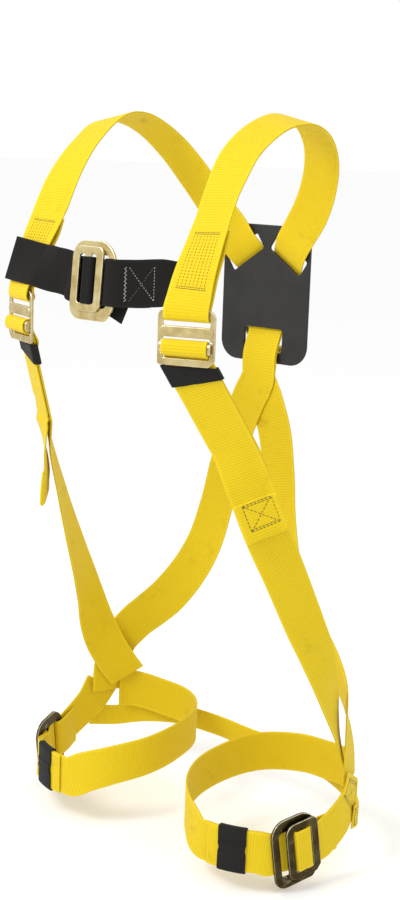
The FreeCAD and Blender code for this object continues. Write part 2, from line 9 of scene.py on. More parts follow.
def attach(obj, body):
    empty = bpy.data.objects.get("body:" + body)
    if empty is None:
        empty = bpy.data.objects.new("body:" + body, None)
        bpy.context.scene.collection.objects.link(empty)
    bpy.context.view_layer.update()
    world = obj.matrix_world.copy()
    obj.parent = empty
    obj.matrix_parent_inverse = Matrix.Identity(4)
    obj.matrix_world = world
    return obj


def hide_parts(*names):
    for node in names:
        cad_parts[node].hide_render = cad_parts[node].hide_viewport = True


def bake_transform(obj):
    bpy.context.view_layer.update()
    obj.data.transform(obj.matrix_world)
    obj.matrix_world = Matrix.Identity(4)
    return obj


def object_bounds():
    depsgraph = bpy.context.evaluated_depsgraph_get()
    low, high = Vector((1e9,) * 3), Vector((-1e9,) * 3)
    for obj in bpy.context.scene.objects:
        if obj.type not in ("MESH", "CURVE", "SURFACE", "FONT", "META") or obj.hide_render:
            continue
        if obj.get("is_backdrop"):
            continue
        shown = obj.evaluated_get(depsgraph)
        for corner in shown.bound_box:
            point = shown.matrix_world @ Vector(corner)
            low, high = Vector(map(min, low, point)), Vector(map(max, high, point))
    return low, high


# The looks of a full-body harness in its worn shape. Metres, +X the wearer's left, -Y the front, +Z up.
# Each webbing piece follows the route of its CAD ribbons, read from the frame, and is woven and sewn here.

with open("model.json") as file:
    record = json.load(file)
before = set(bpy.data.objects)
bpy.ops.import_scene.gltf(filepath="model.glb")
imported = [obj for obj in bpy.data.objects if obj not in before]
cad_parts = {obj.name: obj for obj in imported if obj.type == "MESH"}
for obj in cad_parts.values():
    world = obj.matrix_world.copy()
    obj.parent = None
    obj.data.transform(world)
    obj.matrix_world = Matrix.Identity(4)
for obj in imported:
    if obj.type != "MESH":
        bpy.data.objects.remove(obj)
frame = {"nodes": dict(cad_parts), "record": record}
cad_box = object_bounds()

# ---------------------------------------------------------------- dimensions
MM = 0.001
WIDTH = 45 * MM                 # main webbing
SEAT_WIDTH = 25 * MM            # sub-pelvic webbing
THICK = 2 * MM
LAYER = 2.4 * MM                # pitch of two layers that lie on each other
RIB = 2.8 * MM                  # pitch of the ribs across the yellow webbing
RIB_HEIGHT = 0.13 * MM
FINE_RIB = 1.4 * MM             # of the black webbing
FINE_RIB_HEIGHT = 0.06 * MM
RIB_FADE = (3.2 * MM, 1.2 * MM)             # the ribs fade between these distances from an edge
SEALED_END = 1.2 * MM           # length of the thinner, heat-sealed end of a strap
WANDER, WANDER_PITCH = 0.006, 31 * MM       # how much and how fast a strap's width varies
SEAM_DEPTH = 0.22 * MM          # how far a seam draws the face in
SEAM_SPREAD = 1.1 * MM          # and how wide that dip is
BOX_GAP = 1.8 * MM              # between the rows at the ends of a sewn box
TIGHT_GAP = 0.16                # between tight stitches, as a share of their pitch
LOOSE_GAP = 1.1 * MM            # between loose stitches
BLOCK_TOP, BLOCK_LOW = -0.113, -0.164       # heights of the sewn block on each shoulder strap
TAIL_HEM = (40 * MM, 1.9 * MM, -1)          # length, height and face of a torso tail's folded end
TAIL_RISE, TAIL_CURL = 7.0 * MM, 3.0 * MM   # how far that end stands off, and its outer edge beyond it
ROWS_PER_RIB = 3       # mesh rows along a strap
FACE_POINTS = 15                # mesh points across each face of a strap
EDGE_POINTS = 3                 # and round each selvedge

ADJUSTER = ((0.111, -0.134, -0.208), 20, 0, 0)          # centre, azimuth, elevation and tilt, in degrees
CHEST_BUCKLE = ((0.0035, -0.144, -0.164), 0, 5, 0)
LEG_BUCKLE = ((0.1753, -0.0157, -0.734), 74, 0, 9)
RIGHT_LIFT = 8 * MM             # the right leg loop sits this much higher

# The elastic keepers' sizes are in millimetres.
THIGH_AXIS = (104, 26)
THIGH_RADIUS = 95
THIGH_Z = -731.5
LEG_KEEPER_AZIMUTH = 19
LEG_KEEPER_REACH = 14.6         # half its length round the thigh
LEG_KEEPER_INSIDE = (46.6, 5.8)
TORSO_KEEPER_INSIDE = (46.8, 6.3)
KEEPER_SLOPE = math.tan(math.radians(13))   # of a torso keeper's lower edge
KEEPER_TOP = -27.2              # a torso keeper's upper edge, from the adjuster's centre
KEEPER_LOW = -44 - 7.7 * KEEPER_SLOPE       # and its lower edge on the adjuster's middle line
KEEPER_TRIM = 0.4               # by which its edges stay inside those two lines
KEEPER_CORNER = 1.5
KEEPER_ROWS = 46                # mesh rows along a keeper
BAND_POINTS = 44                # mesh points across each broad face of it
CORNER_POINTS = 6               # and round each corner
BAND_THICK = 1.2
BAND_CORD = 1.6                 # pitch of the cords in the elastic
BAND_RELIEF = 0.09              # their height
BAND_HEM = 0.16                 # how much thinner the band is at its cut edges

YELLOW, BLACK, ELASTIC = "webbing_yellow", "webbing_black", "elastic_black"


# ---------------------------------------------------------------- small vector helpers
def unit(v):
    return v / np.maximum(np.linalg.norm(v, axis=-1, keepdims=True), 1e-12)


def ramp(x, start, end):
    t = np.clip((x - start) / (end - start), 0, 1)
    return t * t * (3 - 2 * t)


def waver(x, seed, pitch):
    """Smooth noise from -1 to 1 along x."""
    values = np.random.default_rng(seed).uniform(-1, 1, 64)
    s = np.asarray(x) / pitch % 63
    i = s.astype(int)
    f = s - i
    return values[i] * (1 - f * f * (3 - 2 * f)) + values[i + 1] * f * f * (3 - 2 * f)


class Place:
    """A local frame whose x runs to the wearer's left, y up and z out of the body."""

    def __init__(self, centre, azimuth, elevation=0, tilt=0, mirror=False, lift=0.0):
        a, e, t = (math.radians(v) for v in (azimuth, elevation, tilt))
        out = np.array([math.sin(a) * math.cos(e), -math.cos(a) * math.cos(e), math.sin(e)])
        level = np.array([math.cos(a), math.sin(a), 0])
        rise = np.cross(out, level)
        self.x = level * math.cos(t) + rise * math.sin(t)
        self.y = rise * math.cos(t) - level * math.sin(t)
        self.z = out
        self.centre = np.array(centre, float)
        self.flip = np.array([-1.0, 1, 1]) if mirror else np.ones(3)
        self.lift = np.array([0, 0, lift])

    def turn(self, x, y, z):
        return (self.x * x + self.y * y + self.z * z) * self.flip

    def point(self, x, y, z):
        """A point given in millimetres of the local frame."""
        return (self.centre + (self.x * x + self.y * y + self.z * z) * MM) * self.flip + self.lift

    def station(self, x, y, z, side, out):
        return self.point(x, y, z), self.turn(*side), self.turn(*out)


# ---------------------------------------------------------------- routes read from the frame
def cad_route(node, first, face):
    """Centre, side and outward vectors at each ring of four corners of a CAD ribbon, from the end that lies
    furthest along `first`. The outward vector leans towards `face` at that end."""
    mesh = frame["nodes"][node].data
    points = np.array([v.co for v in mesh.vertices])
    _, keep, index = np.unique(np.round(points / (0.01 * MM)), axis=0, return_index=True, return_inverse=True)
    corners, index = points[keep], index.reshape(-1)
    linked = [set() for _ in corners]
    for polygon in mesh.polygons:
        ids = index[list(polygon.vertices)]
        for a in ids:
            linked[a].update(b for b in ids if b != a)
    ends = [i for i, near in enumerate(linked) if len(near) < 6]
    start = max(ends, key=lambda i: corners[i] @ np.array(first, float))
    close = {i for i in ends if np.linalg.norm(corners[i] - corners[start]) < 1.1 * WIDTH}
    ring = {start} | (close & linked[start])
    ring |= {i for i in ends if sum(i in linked[r] for r in ring) >= 2}
    seen, rings = set(), []
    while ring:
        rings.append(corners[sorted(ring)])
        seen |= ring
        ring = {b for a in ring for b in linked[a]} - seen
    by_distance = sorted(rings[0][1:], key=lambda c: np.linalg.norm(c - rings[0][0]))
    out, side = unit(by_distance[0] - rings[0][0]), unit(by_distance[1] - rings[0][0])
    if out @ np.array(face, float) < 0:
        out = -out
    route = []
    for four in rings:
        centre = four.mean(0)
        spread = four - centre
        right = spread[np.argsort(spread @ side)[2:]]
        left = spread[np.argsort(spread @ side)[:2]]
        new_side = unit(right.mean(0) - left.mean(0))
        high = [pair[np.argmax(pair @ out)] - pair[np.argmin(pair @ out)] for pair in (right, left)]
        side, out = new_side, unit(high[0] + high[1])
        route.append((centre, side, out))
    return route


def reversed_route(route):
    return [(c, -s, o) for c, s, o in reversed(route)]


class Strap:
    """A route of webbing. u runs across it and v along it, both in metres, and `relief` gives how far its
    middle surface stands off the route at (u, v)."""

    def __init__(self, route, seed, width=WIDTH, hem=None):
        self.points, self.sides, self.outs = (np.array(x) for x in zip(*route))
        gaps = np.linalg.norm(np.diff(self.points, axis=0), axis=1)
        self.knots = np.concatenate([[0], np.cumsum(gaps)])
        self.length = self.knots[-1]
        slopes = np.diff(self.points, axis=0) / gaps[:, None]
        before, after = gaps[:-1, None], gaps[1:, None]
        inner = (slopes[:-1] * after + slopes[1:] * before) / (after + before)
        self.tangents = np.concatenate([slopes[:1], inner, slopes[-1:]])
        self.width, self.hem, self.seed = width, hem, seed
        self.relief = None
        self.seams = []

    def place(self, v):
        """Centre, side and outward vectors at distances v."""
        v = np.clip(np.asarray(v, float), 0, self.length)
        i = np.clip(np.searchsorted(self.knots, v, side="right") - 1, 0, len(self.knots) - 2)
        gap = self.knots[i + 1] - self.knots[i]
        s = ((v - self.knots[i]) / gap)[:, None]
        gap = gap[:, None]
        p, q = self.points[i], self.points[i + 1]
        m, n = self.tangents[i], self.tangents[i + 1]
        centre = p * (2 * s**3 - 3 * s**2 + 1) + q * (3 * s**2 - 2 * s**3)
        centre += (m * (s**3 - 2 * s**2 + s) + n * (s**3 - s**2)) * gap
        along = (p - q) * (6 * s**2 - 6 * s) / gap + m * (3 * s**2 - 4 * s + 1) + n * (3 * s**2 - 2 * s)
        along = unit(along)
        out = self.outs[i] * (1 - s) + self.outs[i + 1] * s
        side = self.sides[i] * (1 - s) + self.sides[i + 1] * s
        out = unit(out - along * (out * along).sum(1, keepdims=True))
        side = unit(side - out * (side * out).sum(1, keepdims=True))
        return centre, side, out

    def offset(self, u, v):
        return self.relief(u, v) if self.relief else np.zeros(np.broadcast(u, v).shape)

    def doubled(self, v, face):
        """Extra thickness where the end is folded over onto one face, given as (length, height, face)."""
        if not self.hem:
            return np.zeros(np.shape(v))
        length, height, hem_face = self.hem
        start = self.length - length
        return height * ramp(v, start - 0.8 * MM, start + 0.6 * MM) * (np.asarray(face) == hem_face)

    def dips(self, u, v):
        """How far stitching draws the surface in."""
        depth = np.zeros(np.broadcast(u, v).shape)
        for (u0, v0), (u1, v1) in self.seams:
            length = max((u1 - u0) ** 2 + (v1 - v0) ** 2, 1e-12)
            t = np.clip(((u - u0) * (u1 - u0) + (v - v0) * (v1 - v0)) / length, 0, 1)
            away = (u - u0 - t * (u1 - u0)) ** 2 + (v - v0 - t * (v1 - v0)) ** 2
            depth = np.maximum(depth, np.exp(-away / SEAM_SPREAD ** 2))
        return depth * SEAM_DEPTH

    def surface(self, u, v, face=1):
        """Points on one face of the strap."""
        u, v = np.broadcast_arrays(np.asarray(u, float), np.asarray(v, float))
        centre, side, out = self.place(v)
        height = self.offset(u, v) + face * (THICK / 2 + self.doubled(v, face) - self.dips(u, v))
        return centre + side * u[:, None] + out * height[:, None]

    def nearest(self, x=None, y=None, z=None, within=(0, 1)):
        """The distance v at which the route comes nearest to the given coordinates."""
        v = np.linspace(within[0] * self.length, within[1] * self.length, 3000)
        centre = self.place(v)[0]
        miss = sum((centre[:, k] - t) ** 2 for k, t in enumerate((x, y, z)) if t is not None)
        return float(v[np.argmin(miss)])


# ---------------------------------------------------------------- mesh making
def make_object(name, points, faces, material, uvs=None):
    mesh = bpy.data.meshes.new(name)
    faces = np.asarray(faces, np.int32)
    mesh.vertices.add(len(points))
    mesh.vertices.foreach_set("co", np.asarray(points, np.float32).ravel())
    mesh.loops.add(faces.size)
    mesh.loops.foreach_set("vertex_index", faces.ravel())
    mesh.polygons.add(len(faces))
    mesh.polygons.foreach_set("loop_start", np.arange(len(faces), dtype=np.int32) * faces.shape[1])
    mesh.polygons.foreach_set("use_smooth", np.full(len(faces), True))
    mesh.update(calc_edges=True)
    if uvs is not None:
        layer = mesh.uv_layers.new(name="weave")
        layer.data.foreach_set("uv", np.asarray(uvs, np.float32)[faces.ravel()].ravel())
    mesh.validate()
    mesh.materials.append(material)
    piece = bpy.data.objects.new(name, mesh)
    bpy.context.scene.collection.objects.link(piece)
    return piece


def tube_faces(rows, ring):
    """Quads of a closed tube of rows, each a ring of points."""
    r, k = np.meshgrid(np.arange(rows - 1), np.arange(ring), indexing="ij")
    a, b = r * ring + k, r * ring + (k + 1) % ring
    return np.stack([a, b, b + ring, a + ring], -1).reshape(-1, 4)


def cap_faces(ring, base, turned):
    """Quads that close the end of a tube whose ring is the same there and back."""
    half = ring // 2
    i = np.arange(half - 1)
    quads = np.stack([i, i + 1, (ring - 2 - i) % ring, (ring - 1 - i) % ring], -1) + base
    return quads[:, ::-1] if turned else quads


def strap_profile(width):
    """Across and height of each point of the ring, half of them on each face, with the selvedges rounded."""
    reach = width / 2 - THICK / 2
    turn = np.linspace(0, math.pi / 2, EDGE_POINTS + 1)[1:-1]
    across = np.linspace(-1, 1, FACE_POINTS)
    face = reach * np.sign(across) * np.abs(across) ** 0.85
    right = reach + THICK / 2 * np.sin(turn)
    high = THICK / 2 * np.cos(turn)
    tip = np.array([width / 2 - 0.03 * MM])
    flat = np.full(FACE_POINTS, THICK / 2)
    upper_u = np.concatenate([-tip, -right[::-1], face, right, tip])
    upper_h = np.concatenate([[0.12 * THICK], high[::-1], flat, high, [0.12 * THICK]])
    return np.concatenate([upper_u, upper_u[::-1]]), np.concatenate([upper_h, -upper_h[::-1]])


def weave_strap(name, strap, material, slot, rib=RIB, rib_height=RIB_HEIGHT):
    """The woven mesh of a strap: ribbed faces, rounded selvedges, sealed ends and dips under its seams."""
    count = round(strap.length / rib)
    rows = count * ROWS_PER_RIB + 1
    v = np.linspace(0, strap.length, rows)
    pitches = v * count / strap.length
    across, height = strap_profile(strap.width)
    ring = len(across)
    centre, side, out = strap.place(v)
    vv, uu = np.meshgrid(v, across, indexing="ij")
    face = np.sign(height)[None, :] * np.ones_like(vv)
    fade = 1 - 0.75 * ramp(np.abs(uu), strap.width / 2 - RIB_FADE[0], strap.width / 2 - RIB_FADE[1])
    phase = pitches[:, None] + np.where(face > 0, 0, 0.5)
    ribs = rib_height * (np.abs(np.sin(math.pi * phase)) ** 0.8 - 0.6) * fade
    sealed = 1 - 0.45 * (1 - ramp(np.minimum(vv, strap.length - vv), 0, SEALED_END))
    plump = 1 + strap.doubled(vv, face) / (THICK / 2)
    tall = (np.abs(height)[None, :] * plump + ribs - strap.dips(uu, vv)) * face * sealed
    wander = 1 + WANDER * waver(v, strap.seed, WANDER_PITCH)[:, None]
    lift = strap.offset(uu, vv) + tall
    points = centre[:, None] + side[:, None] * (uu * wander)[..., None] + out[:, None] * lift[..., None]
    faces = np.concatenate([
        tube_faces(rows, ring), cap_faces(ring, 0, True), cap_faces(ring, (rows - 1) * ring, False)])
    half = rows // 2
    along = np.cross(side[half], out[half])
    if along @ (centre[half + 1] - centre[half]) > 0:
        faces = faces[:, ::-1]
    uvs = np.stack([uu, pitches[:, None] * rib + 0 * uu], -1).reshape(-1, 2)
    piece = make_object(name, points.reshape(-1, 3), faces, material, uvs)
    return piece


# ---------------------------------------------------------------- sewing
def seam(start, end, pitch, gap):
    """Stitches of a straight seam: pairs of (u, v) points."""
    start, end = np.array(start, float), np.array(end, float)
    length = np.linalg.norm(end - start)
    count = max(1, round(length / pitch))
    step = (end - start) / count
    trim = step * (gap / pitch / 2)
    return [(start + step * k + trim, start + step * (k + 1) - trim) for k in range(count)]


def zigzag(start, end, swing, pitch):
    """Stitches of a zigzag that swings to each side of the line from start to end."""
    start, end = np.array(start, float), np.array(end, float)
    count = max(2, round(np.linalg.norm(end - start) / pitch))
    step = (end - start) / count
    away = np.array([-step[1], step[0]]) / np.linalg.norm(step) * swing
    turns = [start + step * k + away * (1 if k % 2 else -1) for k in range(count + 1)]
    return list(zip(turns, turns[1:]))


def sew(name, work, material, slot, body, thread):
    """One mesh of thread for (strap, stitches, face) jobs, each stitch a short plump length of thread."""
    around, stops = 6, (-1.0, -0.86, -0.45, 0.0, 0.45, 0.86, 1.0)
    thin = (0.25, 0.7, 0.97, 1, 0.97, 0.7, 0.25)
    angle = np.linspace(0, 2 * math.pi, around, endpoint=False)
    points, faces = [], []
    quads = np.concatenate([
        tube_faces(len(stops), around),
        [[0, 3, 2, 1], [0, 5, 4, 3]], np.array([[0, 1, 2, 3], [0, 3, 4, 5]]) + around * (len(stops) - 1)])
    for strap, stitches, side_of in work:
        a = np.array([s[0] for s in stitches])
        b = np.array([s[1] for s in stitches])
        pa, pb = strap.surface(a[:, 0], a[:, 1], side_of), strap.surface(b[:, 0], b[:, 1], side_of)
        middle = strap.surface(*((a + b) / 2).T, side_of)
        out = strap.place((a + b)[:, 1] / 2)[2] * side_of
        along = unit(pb - pa)
        across = unit(np.cross(along, out))
        half = np.linalg.norm(pb - pa, axis=1) / 2
        for k in range(len(a)):
            base = len(points) * len(stops) * around
            rows = []
            for stop, size in zip(stops, thin):
                dip = -0.3 * thread * stop * stop
                heart = middle[k] + along[k] * stop * half[k] + out[k] * (dip + 0.22 * thread)
                rows.append(heart + size * thread * (
                    np.cos(angle)[:, None] * across[k] + 0.8 * np.sin(angle)[:, None] * out[k]))
            points.append(np.concatenate(rows))
            faces.append(quads + base)
    piece = make_object(name, np.concatenate(points), np.concatenate(faces), material)
    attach(piece, body)


jobs = {}


def stitch(strap, lines, thread, face=1):
    """Notes stitches for a strap, to be made into thread at the end."""
    jobs.setdefault(thread, []).append((strap, lines, face))


def row(strap, start, end, thread, face=1, times=1, gap=0.0, pitch=2.9 * MM, tight=True):
    """Parallel rows of straight stitches that draw the surface in, each row `gap` further along the strap."""
    space = TIGHT_GAP * pitch if tight else LOOSE_GAP
    for k in range(times):
        a, b = (start[0], start[1] + gap * k), (end[0], end[1] + gap * k)
        strap.seams.append((a, b))
        stitch(strap, seam(a, b, pitch, space), thread, face)


def crossed_box(strap, low, high, reach, thread, face=1, rows=2, shift=0.0, pitch=3.2 * MM):
    """A rectangle with both diagonals, its ends sewn several times."""
    left, right = shift - reach, shift + reach
    for at in (low, high - BOX_GAP * (rows - 1)):
        row(strap, (left, at), (right, at), thread, face, rows, BOX_GAP, pitch)
    for a, b in (((left, low), (left, high)), ((right, low), (right, high)),
                 ((left, low), (right, high)), ((left, high), (right, low))):
        row(strap, a, b, thread, face, pitch=pitch)


def sew_shoulder_block(strap):
    """Dense bars across both layers of the adjuster loop, joined by faint columns."""
    samples, reach, inset = 1500, 15.5 * MM, 3 * MM
    heights = strap.place(np.linspace(0, strap.length * 0.25, samples))[0][:, 2]
    fold = np.argmin(heights) / samples * 0.25
    for within in ((0, fold), (fold, 0.35)):
        top, bottom = (strap.nearest(z=z, within=within) for z in (BLOCK_TOP, BLOCK_LOW))
        down = 1 if bottom > top else -1
        for at in (top, bottom - down * 2 * MM):
            row(strap, (-reach, at), (reach, at), "brown", 1, 2, 1.7 * MM * down, 2.6 * MM)
        for column in np.linspace(-14, 14, 8) * MM:
            ends = (column, top + inset * down), (column, bottom - inset * down)
            stitch(strap, seam(*ends, 3.3 * MM, 1.3 * MM), "faded")


# ---------------------------------------------------------------- materials
class Nodes:
    """Builds a material's node tree with short calls."""

    def __init__(self, name):
        self.material = bpy.data.materials.new(name)
        self.material.use_nodes = True
        self.tree = self.material.node_tree
        self.shader = self.tree.nodes["Principled BSDF"]

    def link(self, value, socket):
        if hasattr(value, "links"):
            self.tree.links.new(value, socket)
        elif value is not None:
            socket.default_value = value

    def math(self, operation, a, b=None, c=None, clamp=False):
        node = self.tree.nodes.new("ShaderNodeMath")
        node.operation, node.use_clamp = operation, clamp
        for value, socket in zip((a, b, c), node.inputs):
            self.link(value, socket)
        return node.outputs[0]

    def weave(self):
        """The strap's own coordinates, across and along, in millimetres."""
        uv = self.tree.nodes.new("ShaderNodeUVMap")
        uv.uv_map = "weave"
        split = self.tree.nodes.new("ShaderNodeSeparateXYZ")
        self.tree.links.new(uv.outputs[0], split.inputs[0])
        return self.math("MULTIPLY", split.outputs[0], 1000), self.math("MULTIPLY", split.outputs[1], 1000)

    def join(self, x, y):
        node = self.tree.nodes.new("ShaderNodeCombineXYZ")
        self.link(x, node.inputs[0])
        self.link(y, node.inputs[1])
        return node.outputs[0]

    def coordinates(self, kind):
        return self.tree.nodes.new("ShaderNodeTexCoord").outputs[kind]

    def position(self):
        return self.coordinates("Object")

    def noise(self, vector, scale, detail, rough=0.55):
        node = self.tree.nodes.new("ShaderNodeTexNoise")
        self.link(vector, node.inputs["Vector"])
        node.inputs["Scale"].default_value = scale
        node.inputs["Detail"].default_value = detail
        node.inputs["Roughness"].default_value = rough
        return node.outputs["Fac"]

    def map(self, value, low, high, new_low=0.0, new_high=1.0):
        node = self.tree.nodes.new("ShaderNodeMapRange")
        node.interpolation_type = "SMOOTHSTEP"
        for v, socket in zip((value, low, high, new_low, new_high), node.inputs):
            self.link(v, socket)
        return node.outputs[0]

    def wave(self, value, pitch):
        """A rounded ridge from 0 to 1 that repeats each pitch."""
        turns = self.math("MULTIPLY", value, math.pi / pitch)
        return self.math("ABSOLUTE", self.math("SINE", turns))

    def colours(self, value, stops):
        ramp_node = self.tree.nodes.new("ShaderNodeValToRGB")
        self.link(value, ramp_node.inputs[0])
        elements = ramp_node.color_ramp.elements
        while len(elements) < len(stops):
            elements.new(0.5)
        for element, (place, colour) in zip(elements, stops):
            element.position, element.color = place, (*colour, 1)
        return ramp_node.outputs[0]

    def tint(self, base, other, share):
        node = self.tree.nodes.new("ShaderNodeMix")
        node.data_type = "RGBA"
        self.link(share, node.inputs[0])
        self.link(base, node.inputs[6])
        self.link(other, node.inputs[7])
        return node.outputs[2]

    def relief(self, height, distance, strength, below=None):
        node = self.tree.nodes.new("ShaderNodeBump")
        node.inputs["Strength"].default_value = strength
        node.inputs["Distance"].default_value = distance
        self.link(height, node.inputs["Height"])
        if below is not None:
            self.link(below, node.inputs["Normal"])
        return node.outputs[0]

    def set(self, **values):
        for name, value in values.items():
            self.link(value, self.shader.inputs[name.replace("_", " ")])
        return self.material


def webbing_material(name, shades, rib, yarn, selvedge, width, rough, sheen, soil):
    """Woven polyester: ribs across, yarns along that pass over alternate ribs, dense selvedges, painted shade
    in the weave's hollows, and some soil.
    """
    n = Nodes(name)
    across, along = n.weave()
    ribs = n.wave(along, rib)
    column = n.math("FLOOR", n.math("DIVIDE", across, yarn))
    odd = n.math("MULTIPLY", n.math("MODULO", n.math("ABSOLUTE", column), 2), math.pi / 2)
    over = n.math("ABSOLUTE", n.math("SINE", n.math("MULTIPLY_ADD", along, math.pi / rib, odd)))
    yarns = n.wave(across, yarn)
    twist = n.wave(n.math("ADD", along, n.math("MULTIPLY", across, 0.55)), yarn * 0.42)
    cloth = n.math("MULTIPLY", n.math("MULTIPLY_ADD", over, 0.45, n.math("MULTIPLY", ribs, 0.55)), yarns)
    edge = n.map(n.math("ABSOLUTE", across), width / 2 - selvedge, width / 2 - selvedge * 0.55)
    border = n.math("MULTIPLY_ADD", n.wave(along, rib / 2), 0.35, 0.65)
    border = n.math("MULTIPLY", n.wave(across, selvedge / 3), border)
    height = n.math("MULTIPLY", cloth, n.math("SUBTRACT", 1, edge))
    height = n.math("ADD", height, n.math("MULTIPLY", border, edge))
    height = n.math("MULTIPLY_ADD", twist, 0.16, height)
    place = n.position()
    fuzz = n.noise(n.join(across, n.math("MULTIPLY", along, 0.35)), 2.2, 4, 0.7)
    drift = n.noise(place, 9, 3)
    # The colour follows the weave's height, so the hollows between ribs and yarns get a painted shade; the
    # fuzz adds random tone.
    hollow_shade_and_fuzz = n.math("MULTIPLY_ADD", height, 0.62, 0.22)
    hollow_shade_and_fuzz = n.math("MULTIPLY_ADD", n.math("SUBTRACT", fuzz, 0.5), 0.5, hollow_shade_and_fuzz, clamp=True)
    colour = n.colours(hollow_shade_and_fuzz, shades)
    dirt = (*[c * 0.62 for c in shades[0][1]], 1)
    worn = n.map(n.noise(place, 46, 5, 0.7), 0.56, 0.78, 0.0, soil)
    colour = n.tint(colour, dirt, n.math("MULTIPLY", worn, n.map(drift, 0.4, 0.62)))
    roughness = n.math("MULTIPLY_ADD", fuzz, 0.12, rough)
    roughness = n.math("MULTIPLY_ADD", n.math("SUBTRACT", 1, height), 0.18, roughness)
    normal = n.relief(height, 0.00022, 0.75)
    normal = n.relief(fuzz, 0.00006, 0.5, normal)
    n.set(Base_Color=colour, Roughness=roughness, Normal=normal)
    return n.set(Sheen_Weight=sheen, Sheen_Roughness=0.45, Specular_IOR_Level=0.16)


def thread_material(name, dark, light, sheen=0.15):
    n = Nodes(name)
    place = n.position()
    plies = n.wave(n.math("ADD", n.noise(place, 900, 2), n.noise(place, 350, 2)), 0.22)
    # The colour is darker where the plies' relief is low, a painted shade between the plies, over random
    # tone.
    colour = n.colours(n.math("MULTIPLY_ADD", n.noise(place, 120, 3), 0.6, n.math("MULTIPLY", plies, 0.4)),
                       [(0.2, dark), (0.8, light)])
    n.set(Base_Color=colour, Roughness=n.map(plies, 0, 1, 0.62, 0.42), Normal=n.relief(plies, 0.00008, 0.6))
    return n.set(Sheen_Weight=sheen)


def plated_steel(name, shades, wear_and_highlight, wear, clouds, facing):
    """Stamped steel with a coloured plating: drifting shades, fine grain, pits, rubbed patches, and rims
    painted bright, partly as wear and partly as a painted highlight that is strongest where a rim faces up.
    `clouds` is the scale of the drift, and `facing` the direction of a plate's flat faces."""
    n = Nodes(name)
    place = n.position()
    cloud = n.noise(place, clouds, 5, 0.6)
    film = n.noise(place, 130, 4, 0.65)
    colour = n.colours(n.math("MULTIPLY_ADD", n.math("SUBTRACT", film, 0.5), 0.35, cloud), shades)
    grain = n.noise(place, 900, 3, 0.7)
    rubbed = n.map(n.noise(place, 75, 6, 0.75), 0.55, 0.72, 0.0, wear)
    colour = n.tint(colour, (*wear_and_highlight, 1), rubbed)
    pits = n.map(n.noise(place, 620, 2, 0.5), 0.67, 0.78)
    colour = n.tint(colour, (*PIT_SHADE, 1), n.math("MULTIPLY", pits, 0.45))
    if facing is not None:
        lean = n.tree.nodes.new("ShaderNodeVectorMath")
        lean.operation = "DOT_PRODUCT"
        n.link(n.coordinates("Normal"), lean.inputs[0])
        lean.inputs[1].default_value = tuple(facing)
        flat = n.math("ABSOLUTE", lean.outputs["Value"])
        # Rims get the bright colour, part wear and part painted highlight; the painted highlight is stronger
        # on rims that face up.
        edge = n.math("MULTIPLY", n.map(flat, 0.15, 0.5), n.map(flat, 0.90, 0.985, 1.0, 0.0))
        patchy = n.map(n.noise(place, 160, 4, 0.7), 0.3, 0.6, 0.35, 1.0)
        up = n.tree.nodes.new("ShaderNodeSeparateXYZ")
        n.link(n.coordinates("Normal"), up.inputs[0])
        painted_top_highlight = n.map(up.outputs[2], -0.35, 0.55, 0.22, 1.0)
        colour = n.tint(colour, (*wear_and_highlight, 1), n.math("MULTIPLY", n.math("MULTIPLY", edge, patchy), painted_top_highlight))
    roughness = n.math("MULTIPLY_ADD", grain, 0.14, n.math("MULTIPLY_ADD", film, 0.16, STEEL_ROUGHNESS))
    normal = n.relief(n.noise(place, 55, 2), 0.0006, 0.35)
    normal = n.relief(grain, 0.00004, 0.5, normal)
    normal = n.relief(n.math("MULTIPLY", pits, -1), 0.00012, 0.6, normal)
    n.set(Base_Color=colour, Roughness=roughness, Normal=normal)
    return n.set(Metallic=1.0)


def elastic_material(name):
    """Knitted elastic: rubber cords along the band under a fine knit, its grooves darker as painted shade."""
    n = Nodes(name)
    across, along = n.weave()
    cords = n.wave(across, 1.25)
    knit = n.wave(n.math("MULTIPLY_ADD", cords, 0.35, along), 0.8)
    height = n.math("MULTIPLY_ADD", knit, 0.4, n.math("MULTIPLY", cords, 0.6))
    lint = n.noise(n.position(), 420, 4, 0.7)
    # Darker where the cords and knit are low: painted shade in the grooves, over random lint.
    colour = n.colours(n.math("MULTIPLY_ADD", lint, 0.5, n.math("MULTIPLY", height, 0.5)), ELASTIC_SHADES)
    normal = n.relief(lint, 0.00006, 0.5, n.relief(height, 0.0003, 0.8))
    n.set(Base_Color=colour, Roughness=n.map(height, 0, 1, 0.88, 0.68), Normal=normal)
    return n.set(Sheen_Weight=0.04, Sheen_Roughness=0.5, Specular_IOR_Level=0.2)


def moulded_plastic(name):
    """Matt black plastic with a fine leather-like grain, its dimples darker as painted shade, polished a
    little where it is handled.
    """
    n = Nodes(name)
    place = n.position()
    cells = n.tree.nodes.new("ShaderNodeTexVoronoi")
    cells.feature, cells.inputs["Scale"].default_value = "SMOOTH_F1", 950
    n.link(place, cells.inputs["Vector"])
    cell = cells.outputs["Distance"]
    rubbed = n.noise(place, 32, 4)
    # Darker in the grain's dimples, a painted shade, and lighter in the handled patches.
    colour = n.colours(n.math("MULTIPLY_ADD", rubbed, 0.6, n.math("MULTIPLY", cell, 0.4)), PLASTIC_SHADES)
    n.set(Base_Color=colour, Roughness=n.map(rubbed, 0.35, 0.7, 0.62, 0.45))
    return n.set(Normal=n.relief(cell, 0.00012, 0.6))


